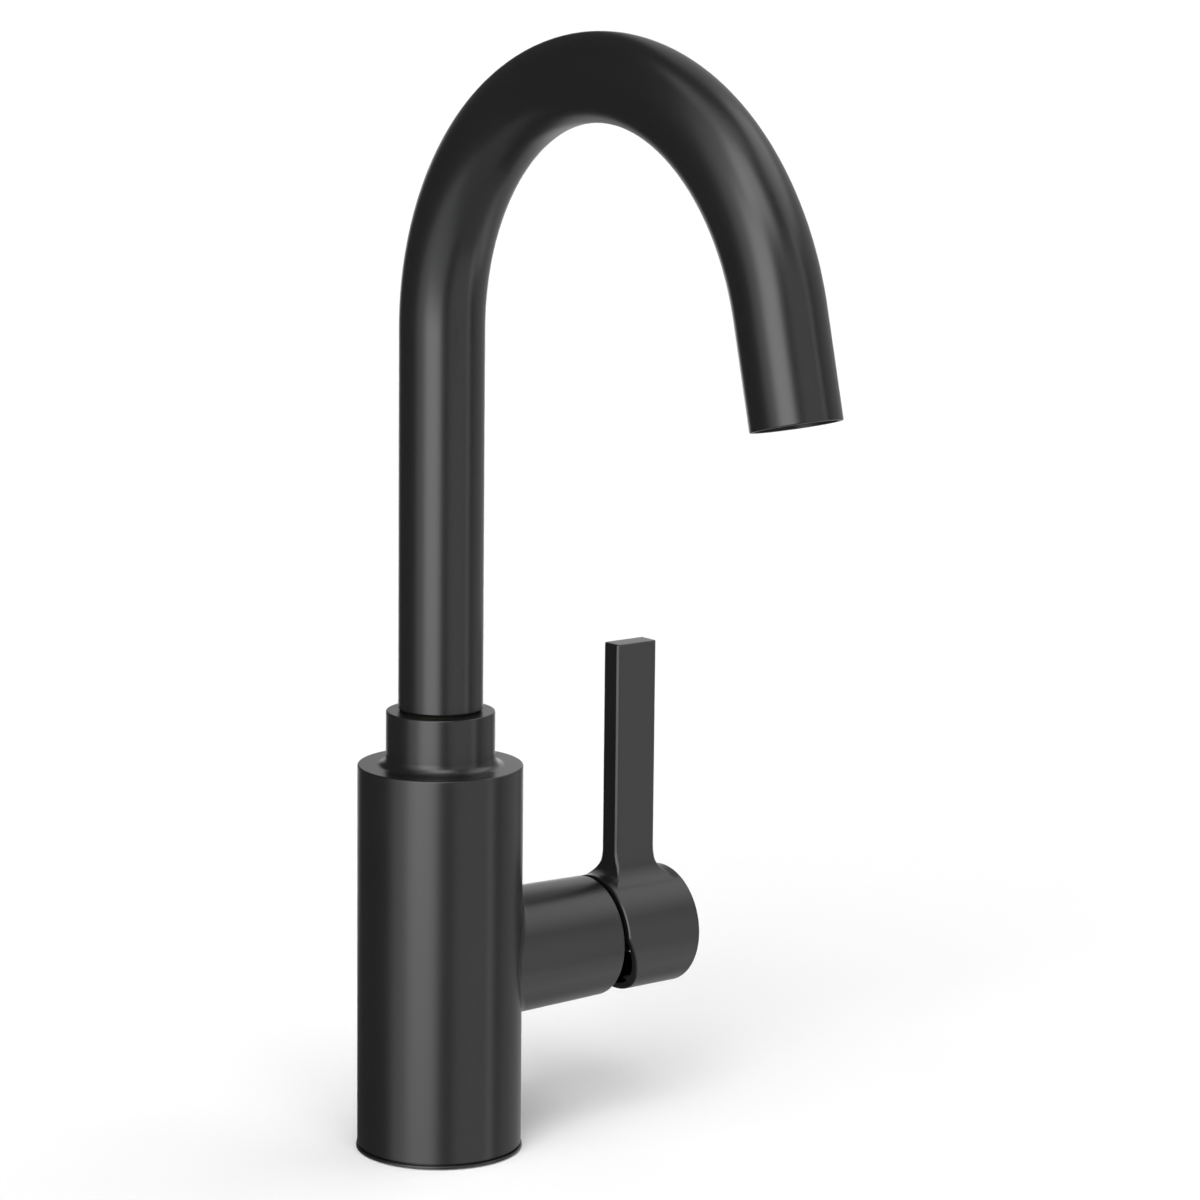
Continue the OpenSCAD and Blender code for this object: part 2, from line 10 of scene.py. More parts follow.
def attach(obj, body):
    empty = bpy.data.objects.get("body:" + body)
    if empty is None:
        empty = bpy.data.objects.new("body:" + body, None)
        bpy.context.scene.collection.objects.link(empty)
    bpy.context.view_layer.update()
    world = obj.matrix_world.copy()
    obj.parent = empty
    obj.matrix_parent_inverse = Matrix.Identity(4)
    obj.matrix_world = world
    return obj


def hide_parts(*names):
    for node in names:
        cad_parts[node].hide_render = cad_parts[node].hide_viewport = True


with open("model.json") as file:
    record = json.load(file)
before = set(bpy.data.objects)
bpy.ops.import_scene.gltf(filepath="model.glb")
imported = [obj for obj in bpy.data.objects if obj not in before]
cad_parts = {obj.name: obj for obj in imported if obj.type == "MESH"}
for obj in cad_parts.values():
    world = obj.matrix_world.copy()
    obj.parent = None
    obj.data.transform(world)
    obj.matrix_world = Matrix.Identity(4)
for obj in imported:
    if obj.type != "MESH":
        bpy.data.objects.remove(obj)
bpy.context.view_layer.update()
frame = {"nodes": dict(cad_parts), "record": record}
nodes = frame["nodes"]
scene = bpy.context.scene
mm = 0.001
tiny = 1e-9  # the least length to divide by
print("stage: frame loaded,", len(nodes), "nodes")


camera = {
    "lensMm": 130.628, "sensorMm": 36.0, "clipEndM": 20, "distanceMm": 1273.56, "heightMm": 401.26,
    "azimuthDeg": -36.126, "pitchDeg": 10.356, "panDeg": -2.125, "rollDeg": 0.605,
}


def levelWay(degrees):
    # Level direction at this angle round the object, from the -Y side towards +X
    turn = math.radians(degrees)
    return Vector((math.sin(turn), -math.cos(turn), 0))


def placeCamera(s):
    pan, pitch, roll = (math.radians(s[key]) for key in ("panDeg", "pitchDeg", "rollDeg"))
    toward = levelWay(s["azimuthDeg"])
    ahead = Matrix.Rotation(pan, 3, "Z") @ -toward * math.cos(pitch) - Vector((0, 0, math.sin(pitch)))
    right = ahead.cross(Vector((0, 0, 1))).normalized()
    up = right.cross(ahead)
    rolledRight = right * math.cos(roll) + up * math.sin(roll)
    rolledUp = up * math.cos(roll) - right * math.sin(roll)
    lens = bpy.data.cameras.new("photoCamera")
    lens.lens = s["lensMm"]
    lens.sensor_width = s["sensorMm"]
    lens.clip_end = s["clipEndM"]
    holder = bpy.data.objects.new("photoCamera", lens)
    place = toward * s["distanceMm"] + Vector((0, 0, s["heightMm"]))
    holder.matrix_world = Matrix.LocRotScale(
        place * mm, Matrix((rolledRight, rolledUp, -ahead)).transposed(), None)
    scene.collection.objects.link(holder)
    scene.camera = holder


placeCamera(camera)
print("stage: camera placed")


class Skin:
    # Gathers patches of points with their exact normals, and welds them into one mesh
    weldMm = 0.0005

    def __init__(self):
        self.points, self.normals, self.faces = [], [], []
        self.count = 0

    def patch(self, points, normals):
        # Rows and columns of points
        p, n = np.asarray(points, float), np.asarray(normals, float)
        rows, cols = p.shape[:2]
        index = np.arange(rows * cols).reshape(rows, cols) + self.count
        quads = np.stack([index[:-1, :-1], index[:-1, 1:], index[1:, 1:], index[1:, :-1]], -1)
        self.points.append(p.reshape(-1, 3))
        self.normals.append(n.reshape(-1, 3))
        self.faces += quads.reshape(-1, 4).tolist()
        self.count += rows * cols

    def cap(self, points, normal):
        # One flat face inside a loop of points
        p = np.asarray(points, float)
        self.points.append(p)
        self.normals.append(np.tile(np.asarray(normal, float), (len(p), 1)))
        self.faces.append(list(range(self.count, self.count + len(p))))
        self.count += len(p)

    def build(self, name, body, slot, replaced):
        p, n = np.vstack(self.points), np.vstack(self.normals)
        n /= np.maximum(np.linalg.norm(n, axis=1, keepdims=True), tiny)
        keys = np.round(p / self.weldMm).astype(np.int64)
        firsts, where = np.unique(keys, axis=0, return_index=True, return_inverse=True)[1:]
        where = where.ravel()
        faces, corners = [], []
        for face in self.faces:
            kept = [c for i, c in enumerate(face) if where[c] != where[face[i - 1]]]
            if len(kept) < 3:
                continue
            q = p[kept]
            area = np.cross(q, np.roll(q, -1, axis=0)).sum(axis=0)
            if area @ n[kept].sum(axis=0) < 0:
                kept.reverse()
            faces.append([int(where[c]) for c in kept])
            corners += [n[c] for c in kept]
        mesh = bpy.data.meshes.new(name)
        mesh.from_pydata((p[firsts] * mm).tolist(), [], faces)
        mesh.polygons.foreach_set("use_smooth", [True] * len(faces))
        mesh.normals_split_custom_set(np.array(corners).tolist())
        mesh.materials.append(finishes[slot])
        piece = bpy.data.objects.new(name, mesh)
        scene.collection.objects.link(piece)
        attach(piece, body)
        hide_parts(replaced)


def stops(first, *stretches):
    # Grid lines from the first place on: each stretch is the place it ends at and its number of steps
    places = [first]
    for place, steps in stretches:
        places += np.linspace(places[-1], place, steps + 1)[1:].tolist()
    return np.array(places)


def line(a, b, steps=1):
    # A straight stretch of a profile: rows of (along, out) and their normals, to its left
    a, b = np.array(a, float), np.array(b, float)
    t = np.linspace(0, 1, steps + 1)[:, None]
    d = (b - a) / max(np.linalg.norm(b - a), tiny)
    return a + (b - a) * t, np.tile([-d[1], d[0]], (steps + 1, 1))


def chain(*points):
    # Straight stretches from point to point
    return [line(a, b) for a, b in zip(points, points[1:])]


def arc(centre, radius, start, end, steps=6, hollow=False):
    # A round stretch of a profile, by angle from the axis direction; hollow turns its normals inwards
    a = np.radians(np.linspace(start, end, steps + 1))
    n = np.stack([np.cos(a), np.sin(a)], -1)
    return np.array(centre) + radius * n, -n if hollow else n


def spin(skin, stretches, axes, turns):
    # Revolves profile stretches: axes are the origin, the axis and the two directions across it
    origin, axis, first, second = (np.array(v, float) for v in axes)
    across = np.outer(np.cos(turns), first) + np.outer(np.sin(turns), second)
    for points, normals in stretches:
        out = points[:, 1][:, None, None] * across[None]
        skin.patch(origin + points[:, 0][:, None, None] * axis + out,
                   normals[:, 0][:, None, None] * axis + normals[:, 1][:, None, None] * across[None])


def blockBorder(us, vs):
    # The border of a block of grid lines as (u, v), from the middle of its last v line towards larger u
    middle = len(us) // 2
    ring = [(u, vs[-1]) for u in us[middle:]]
    ring += [(us[-1], v) for v in vs[::-1][1:]]
    ring += [(u, vs[0]) for u in us[::-1][1:]]
    ring += [(us[0], v) for v in vs[1:]]
    ring += [(u, vs[-1]) for u in us[1:middle + 1]]
    return np.array(ring)


def holedGrid(skin, us, vs, hole, place, border, rings=5):
    # A grid on a round wall with a hole: hole is (u0, u1, v0, v1) in line numbers, border its edge as (u, v)
    u0, u1, v0, v1 = hole
    lastU, lastV = len(us) - 1, len(vs) - 1
    for ua, ub, va, vb in ((0, u0, 0, lastV), (u1, lastU, 0, lastV), (u0, u1, 0, v0), (u0, u1, v1, lastV)):
        if ub > ua and vb > va:
            u, v = np.meshgrid(us[ua:ub + 1], vs[va:vb + 1], indexing="ij")
            skin.patch(*place(u, v))
    outer = blockBorder(us[u0:u1 + 1], vs[v0:v1 + 1])
    t = np.linspace(0, 1, rings + 1)[:, None, None]
    mixed = outer[None] * (1 - t) + border[None] * t
    skin.patch(*place(mixed[..., 0], mixed[..., 1]))


def between(one, two, turn, share):
    # Directions on the way from one to the other, which are this turn apart
    return (np.sin((1 - share) * turn) * one + np.sin(share * turn) * two) / np.sin(turn)


def eased(t):
    return t * t * (3 - 2 * t)


valveZ = 56.8  # height of the valve's axis, for the body and the handle
bodyAxes = ((0, 0, 0), (0, 0, 1), (1, 0, 0), (0, 1, 0))
valveAxes = ((0, 0, valveZ), (1, 0, 0), (0, 0, 1), (0, 1, 0))


def fromValve(turn):
    # Directions away from the valve's axis, by turn from straight up towards +Y
    return np.stack([np.zeros_like(turn), np.sin(turn), np.cos(turn)], -1)


def roundValve(turn, radius, along):
    # Points round the valve's axis
    turn, radius, along = np.broadcast_arrays(turn, radius, along)
    return np.stack([along, radius * np.sin(turn), valveZ + radius * np.cos(turn)], -1)


class Val:
    # A number socket, on which arithmetic adds Math nodes
    def __init__(self, paint, socket):
        self.paint, self.socket = paint, socket

    def math(self, operation, *terms):
        result = self.paint.add("ShaderNodeMath", {"operation": operation}, dict(enumerate(terms)))
        return Val(self.paint, result)

    def join(self, operation, *others):
        return self.math(operation, self, *others)

    def __add__(self, other):
        return self.math("ADD", self, other)

    def __radd__(self, other):
        return self.math("ADD", other, self)

    def __sub__(self, other):
        return self.math("SUBTRACT", self, other)

    def __rsub__(self, other):
        return self.math("SUBTRACT", other, self)

    def __mul__(self, other):
        return self.math("MULTIPLY", self, other)

    def __rmul__(self, other):
        return self.math("MULTIPLY", other, self)


class Paint:
    # Fills one node tree, a material's or the world's
    def __init__(self, tree):
        self.tree = tree

    def add(self, kind, settings=None, values=None, output=0):
        node = self.tree.nodes.new(kind)
        for key, value in (settings or {}).items():
            setattr(node, key, value)
        for key, value in (values or {}).items():
            socket = getattr(value, "socket", value)
            if isinstance(socket, bpy.types.NodeSocket):
                self.tree.links.new(socket, node.inputs[key])
            else:
                node.inputs[key].default_value = socket
        return node.outputs[output]

    def dot(self, one, two):
        product = self.add("ShaderNodeVectorMath", {"operation": "DOT_PRODUCT"}, {0: one, 1: two}, "Value")
        return Val(self, product)

    def ramp(self, value, low, high):
        # Runs from 0 to 1 while the value goes from low to high
        return Val(self, self.add("ShaderNodeMapRange", {"interpolation_type": "SMOOTHSTEP"}, {
            "Value": value, "From Min": low, "From Max": high}))


class Finish(Paint):
    # One material: its shader, and the nodes that vary it over the surface
    mixShare, mixOne, mixTwo, mixResult = 0, 6, 7, 2  # a Mix node's sockets for colours

    def __init__(self, name, **fixed):
        self.material = bpy.data.materials.new(name)
        self.material.use_nodes = True
        super().__init__(self.material.node_tree)
        self.tree.nodes.clear()
        self.shader = self.tree.nodes.new("ShaderNodeBsdfPrincipled")
        out = self.tree.nodes.new("ShaderNodeOutputMaterial")
        self.tree.links.new(self.shader.outputs[0], out.inputs["Surface"])
        self.place = self.add("ShaderNodeTexCoord", output="Object")
        for key, value in fixed.items():
            self.shader.inputs[key.replace("_", " ")].default_value = value

    def drive(self, **sockets):
        for key, value in sockets.items():
            self.tree.links.new(getattr(value, "socket", value), self.shader.inputs[key.replace("_", " ")])
        return self.material

    def noise(self, sizeMm, detail=2.0, stretch=(1, 1, 1)):
        # Soft noise with features of about this size
        scaled = self.add("ShaderNodeVectorMath", {"operation": "MULTIPLY"}, {0: self.place, 1: stretch})
        return Val(self, self.add("ShaderNodeTexNoise", {}, {
            "Vector": scaled, "Scale": 1 / (sizeMm * mm), "Detail": detail}))

    def mix(self, share, one, two):
        values = {self.mixShare: share, self.mixOne: (*one, 1), self.mixTwo: (*two, 1)}
        return self.add("ShaderNodeMix", {"data_type": "RGBA"}, values, self.mixResult)

    def bump(self, height, strength, depthMm):
        return self.add("ShaderNodeBump", {}, {
            "Strength": strength, "Distance": depthMm * mm, "Height": height})


midGrey = 0.5  # a noise's average, which leaves a roughness as it is

blackCoat = {
    "colour": (0.0064, 0.0066, 0.0065), "worn": (0.0086, 0.0089, 0.0087), "wear": 0.35,
    "rough": 0.30, "roughByBlotch": 0.03, "roughByGrain": 0.04, "shine": 0.5, "ior": 1.5,
    "grainMm": 0.16, "peelMm": 1.44, "blotchMm": 34.0, "blotchShare": 0.7, "toneSpan": (0.3, 0.7),
    "grainShare": 0.6, "relief": 0.25, "reliefMm": 0.003,
}


def coatFinish(s):
    # Fine powder grain over a faint orange peel, with broad blotches in its gloss
    f = Finish("matteBlackCoat", Specular_IOR_Level=s["shine"], IOR=s["ior"])
    grain = f.noise(s["grainMm"], 3.0)
    peel = f.noise(s["peelMm"])
    blotch = f.noise(s["blotchMm"], 3.0)
    tone = f.ramp(blotch * s["blotchShare"] + grain * (1 - s["blotchShare"]), *s["toneSpan"])
    relief = grain * s["grainShare"] + peel * (1 - s["grainShare"])
    rough = s["rough"] + (blotch - midGrey) * s["roughByBlotch"] + (grain - midGrey) * s["roughByGrain"]
    return f.drive(Base_Color=f.mix(tone * s["wear"], s["colour"], s["worn"]), Roughness=rough,
                   Normal=f.bump(relief, s["relief"], s["reliefMm"]))


turning = {
    "lineMm": 0.22, "lineStretch": (0.02, 0.02, 1.0), "speckMm": 0.9, "cloudMm": 9.0, "cloudShare": 0.6,
    "toneSpan": (0.35, 0.7), "roughByCloud": 0.12, "roughByLine": 0.1, "lineShare": 0.7,
    "relief": 0.3, "reliefMm": 0.02,
}
machined = {
    "brass": {"colour": (0.56, 0.40, 0.17), "dark": (0.40, 0.27, 0.10), "rough": 0.28, "metal": 1.0},
    "steel": {"colour": (0.50, 0.51, 0.52), "dark": (0.36, 0.37, 0.38), "rough": 0.26, "metal": 1.0},
    # dark_metal's colour is kept nearly black, partly the part's own dark finish and partly painted shade,
    # so the inner parts seen through the gap between the stub and the hub stay dark
    "dark_metal": {
        "colour": (0.024, 0.0245, 0.025), "dark": (0.015, 0.0154, 0.016), "rough": 0.42, "metal": 0.6,
    },
}


def turnedFinish(name, s, texture):
    # Fine turning lines: rings of noise, wide across the axis and narrow along it
    f = Finish(name, Metallic=s["metal"])
    lines = f.noise(texture["lineMm"], 2.0, texture["lineStretch"])
    specks = f.noise(texture["speckMm"], 3.0)
    cloud = f.noise(texture["cloudMm"])
    tone = f.ramp(cloud * texture["cloudShare"] + specks * (1 - texture["cloudShare"]), *texture["toneSpan"])
    relief = lines * texture["lineShare"] + specks * (1 - texture["lineShare"])
    rough = s["rough"] + (cloud - midGrey) * texture["roughByCloud"]
    rough = rough + (lines - midGrey) * texture["roughByLine"]
    return f.drive(Base_Color=f.mix(tone, s["colour"], s["dark"]), Roughness=rough,
                   Normal=f.bump(relief, texture["relief"], texture["reliefMm"]))


moulding = {
    "flowMm": 7.0, "flowStretch": (1.0, 0.35, 1.0), "toneSpan": (0.3, 0.75),
    "roughBySpark": 0.16, "roughByFlow": 0.06, "relief": 0.35, "reliefMm": 0.015,
}
moulded = {
    "glide_plastic": {
        "colour": (0.0022, 0.0022, 0.0023), "pale": (0.0035, 0.0035, 0.0036),
        "rough": 0.72, "sparkMm": 0.25, "shine": 0.08,
    },
    "dark_plastic": {
        "colour": (0.052, 0.053, 0.055), "pale": (0.075, 0.076, 0.079),
        "rough": 0.5, "sparkMm": 0.35, "shine": 0.5,
    },
    "pale_plastic": {
        "colour": (0.70, 0.67, 0.60), "pale": (0.76, 0.74, 0.68),
        "rough": 0.46, "sparkMm": 0.35, "shine": 0.5,
    },
    "blue_plastic": {
        "colour": (0.05, 0.14, 0.34), "pale": (0.08, 0.19, 0.42),
        "rough": 0.42, "sparkMm": 0.35, "shine": 0.5,
    },
    "red_plastic": {
        "colour": (0.42, 0.045, 0.032), "pale": (0.52, 0.08, 0.06),
        "rough": 0.42, "sparkMm": 0.35, "shine": 0.5,
    },
}


def mouldedFinish(name, s, texture):
    # Spark-eroded mould texture, with faint flow marks
    f = Finish(name, Specular_IOR_Level=s["shine"])
    spark = f.noise(s["sparkMm"])
    flow = f.noise(texture["flowMm"], 2.0, texture["flowStretch"])
    rough = s["rough"] + (spark - midGrey) * texture["roughBySpark"]
    rough = rough + (flow - midGrey) * texture["roughByFlow"]
    return f.drive(Base_Color=f.mix(f.ramp(flow, *texture["toneSpan"]), s["colour"], s["pale"]),
                   Roughness=rough, Normal=f.bump(spark, texture["relief"], texture["reliefMm"]))


sealRubber = {
    "colour": (0.018, 0.018, 0.018), "dusty": (0.05, 0.05, 0.049), "rough": 0.62, "roughByDust": 0.2,
    "shine": 0.35, "dustMm": 0.5, "cloudMm": 4.0, "toneSpan": (0.2, 0.4), "relief": 0.3, "reliefMm": 0.02,
}


def rubberFinish(s):
    # Grey dust that gathers in clouds
    f = Finish("sealRubber", Specular_IOR_Level=s["shine"])
    dust = f.noise(s["dustMm"], 4.0)
    cloud = f.noise(s["cloudMm"])
    return f.drive(Base_Color=f.mix(f.ramp(dust * cloud, *s["toneSpan"]), s["colour"], s["dusty"]),
                   Roughness=s["rough"] + (dust - midGrey) * s["roughByDust"],
                   Normal=f.bump(dust, s["relief"], s["reliefMm"]))


lappedCeramic = {
    "colour": (0.84, 0.83, 0.79), "pale": (0.90, 0.89, 0.86), "rough": 0.22, "roughByGrain": 0.1,
    "coat": 0.15, "grainMm": 0.12, "cloudMm": 5.0, "relief": 0.1, "reliefMm": 0.004,
}


def ceramicFinish(s):
    # Lapped to a soft gloss, cloudy and barely grained
    f = Finish("lappedCeramic", Coat_Weight=s["coat"])
    grain = f.noise(s["grainMm"], 3.0)
    cloud = f.noise(s["cloudMm"])
    return f.drive(Base_Color=f.mix(cloud, s["colour"], s["pale"]),
                   Roughness=s["rough"] + (grain - midGrey) * s["roughByGrain"],
                   Normal=f.bump(grain, s["relief"], s["reliefMm"]))


finishes = {
    "coating": coatFinish(blackCoat),
    "rubber": rubberFinish(sealRubber),
    "ceramic": ceramicFinish(lappedCeramic),
}
finishes.update({slot: turnedFinish(slot + "Turned", s, turning) for slot, s in machined.items()})
finishes.update({slot: mouldedFinish(slot + "Moulded", s, moulding) for slot, s in moulded.items()})
for part in frame["record"]["subparts"]:
    slots = nodes[part["node"]].data.materials
    slots.clear()
    slots.append(finishes[part["material_slot"]])
print("stage: finishes on", len(nodes), "nodes")


body = {
    "radius": 24.85, "bottom": 1.4, "top": 118.4, "chamfer": 0.12, "edge": 0.45, "cavity": 22.25,
    "cavityTop": 115.4, "collar": 16.35, "collarTop": 134.8, "collarFillet": 3.0, "neckBore": 12.5,
    "stubRoot": 19.3, "stubRootX": 20.85, "stubEnd": 18.6, "stubEndX": 56.8, "stubBore": 16.2,
    "stubFillet": 2.4, "filletSteps": 10, "stubSteps": 6, "rollSteps": 20,
    # The grid's block of columns and rows that holds the stub, and the columns on the far side
    "blockDeg": 60, "blockColumns": 48, "farColumns": 96, "blockLow": 29, "blockHigh": 84.6, "blockRows": 24,
    "lowRows": (8, 26), "highRows": (90, 112), "plainRows": 3,
}


def bodyOutline(s):
    # Up over the shoulder and the collar, and down through the neck
    outR, e, top, fillet = s["radius"], s["edge"], s["top"], s["collarFillet"]
    collar, collarTop, neck, ceiling = s["collar"], s["collarTop"], s["neckBore"], s["cavityTop"]
    low, cut = s["bottom"], s["chamfer"]
    return [
        *chain((low, s["cavity"]), (low, outR - cut), (low + cut, outR)),
        arc((top - e, outR - e), e, 90, 0),
        line((top, outR - e), (top, collar + fillet), 2),
        arc((top + fillet, collar + fillet), fillet, 180, 270, 10, True),
        line((top + fillet, collar), (collarTop - e, collar), 3),
        arc((collarTop - e, collar - e), e, 90, 0),
        line((collarTop, collar - e), (collarTop, neck)),
        line((collarTop, neck), (ceiling, neck), 2),
        line((ceiling, neck), (ceiling, s["cavity"])),
    ]


def rollBall(s, turns):
    # Centres of the ball that rolls round the stub's root, and its ways to the body and to the stub
    outR, ball = s["radius"], s["stubFillet"]
    taper = (s["stubRoot"] - s["stubEnd"]) / (s["stubEndX"] - s["edge"] - s["stubRootX"])
    tilt = math.atan(taper)
    x = np.full_like(turns, outR)
    for step in range(s["rollSteps"]):
        reach = s["stubRoot"] - taper * (x - s["stubRootX"]) + ball / math.cos(tilt)
        x = np.sqrt((outR + ball) ** 2 - (reach * np.sin(turns)) ** 2)
    centre = roundValve(turns, reach, x)
    toBody = -centre * [1, 1, 0] / (outR + ball)
    toStub = -fromValve(turns) * math.cos(tilt) - [math.sin(tilt), 0, 0]
    return centre, toBody, toStub


def buildBody(s):
    skin = Skin()
    outR, e, ball, bore, endX = s["radius"], s["edge"], s["stubFillet"], s["stubBore"], s["stubEndX"]
    block = s["blockDeg"]
    turns = np.radians(stops(-block, (block, s["blockColumns"]), (360 - block, s["farColumns"])))
    spin(skin, bodyOutline(s), bodyAxes, turns)
    below = ((s["lowRows"][0], 1), (s["lowRows"][1], s["plainRows"]), (s["blockLow"], 1))
    above = ((s["highRows"][0], 1), (s["highRows"][1], s["plainRows"]), (s["top"] - e, 1))
    heights = stops(s["bottom"] + s["chamfer"], *below, (s["blockHigh"], s["blockRows"]), *above)
    firstRow = sum(steps for place, steps in below)
    hole = (0, s["blockColumns"], firstRow, firstRow + s["blockRows"])
    border = blockBorder(turns[:hole[1] + 1], heights[hole[2]:hole[3] + 1])
    stubTurns = np.unwrap(np.arctan2(border[:, 0] * outR, border[:, 1] - valveZ))

    def wall(radius, sign):
        def place(turn, z):
            out = np.stack([np.cos(turn), np.sin(turn), np.zeros_like(turn)], -1)
            return out * radius + z[..., None] * np.array([0, 0, 1.0]), out * sign
        return place

    def onWall(points):
        return np.stack([np.arctan2(points[:, 1], points[:, 0]), points[:, 2]], -1)

    # Outer wall, and the fillet between it and the stub
    centre, toBody, toStub = rollBall(s, stubTurns)
    holedGrid(skin, turns, heights, hole, wall(outR, 1), onWall(centre + ball * toBody))
    apart = np.arccos(np.clip((toBody * toStub).sum(-1), -1, 1))[:, None]
    share = np.linspace(0, 1, s["filletSteps"] + 1)[:, None, None]
    spread = between(toBody, toStub, apart, share)
    skin.patch(centre + ball * spread, -spread)

    # Stub: cone, rounded end, end face and bore, all on the same lines round the valve's axis
    share = np.linspace(0, 1, s["stubSteps"] + 1)[:, None, None]
    far = roundValve(stubTurns, s["stubEnd"], endX - e)
    skin.patch((centre + ball * toStub) * (1 - share) + far * share, np.tile(-toStub, (len(share), 1, 1)))
    spin(skin, [arc((endX - e, s["stubEnd"] - e), e, 90, 0), line((endX, s["stubEnd"] - e), (endX, bore))],
         valveAxes, stubTurns)
    mouth = roundValve(stubTurns, bore, np.sqrt(s["cavity"] ** 2 - (bore * np.sin(stubTurns)) ** 2))
    lip = roundValve(stubTurns, bore, endX)
    skin.patch(mouth * (1 - share) + lip * share, np.tile(-fromValve(stubTurns), (len(share), 1, 1)))

    inner = np.concatenate([[s["bottom"]], heights[1:-1], [s["cavityTop"]]])
    holedGrid(skin, turns, inner, hole, wall(s["cavity"], -1), onWall(mouth))
    skin.build("bodyCasting", "root", "coating", "body_shell")


buildBody(body)
print("stage: body casting built")


handle = {
    "radius": 18.5, "start": 58.8, "end": 86.4, "bore": 16.5, "face": 3.5, "faceRing": 8.0,
    "edge": 0.45, "rim": 0.36, "reliefUp": 2.0, "reliefDeg": 22.0, "reliefClear": 0.8, "reliefEase": 1.1,
    "boss": 7.2, "bossX": 66.5, "socket": 3.55, "socketX": 79.9,
    "grubX": 74.0, "grubHole": 2.5, "grubWall": 0.6, "grubTurn": 0.25,
    "bladeWidth": 15.3, "bladeThick": 7.3, "bladeX": 72.2, "bladeTop": 147.8, "crown": 0.5,
    "sideFillet": 4.0, "faceFillet": 12.0, "footEase": 3.0,
    "bladeEdge": 0.85, "edgeFlatShare": 0.2, "edgeFlatness": 14.0, "leastTurn": 0.02,
    # Steps of the hub's grid and of the blade's rows
    "acrossFoot": 12, "alongFoot": 24, "wallSteps": 45, "grubSteps": 12, "rimSteps": 4, "bossMore": 6,
    "grubBlock": (3, 16), "bossBlock": (6, 16), "crownSteps": 4, "bladeSteps": 11, "footSteps": 20,
}


def bladeFoot(s):
    # Where the blade's fillets meet the hub: height and turn of the broad ones, and both ends along the axis
    footY = s["bladeThick"] / 2 + s["faceFillet"]
    footUp = math.sqrt((s["radius"] + s["faceFillet"]) ** 2 - footY ** 2)
    reach = s["bladeWidth"] / 2 + s["sideFillet"]
    return footUp, math.atan2(footY, footUp), s["bladeX"] - reach, s["bladeX"] + reach


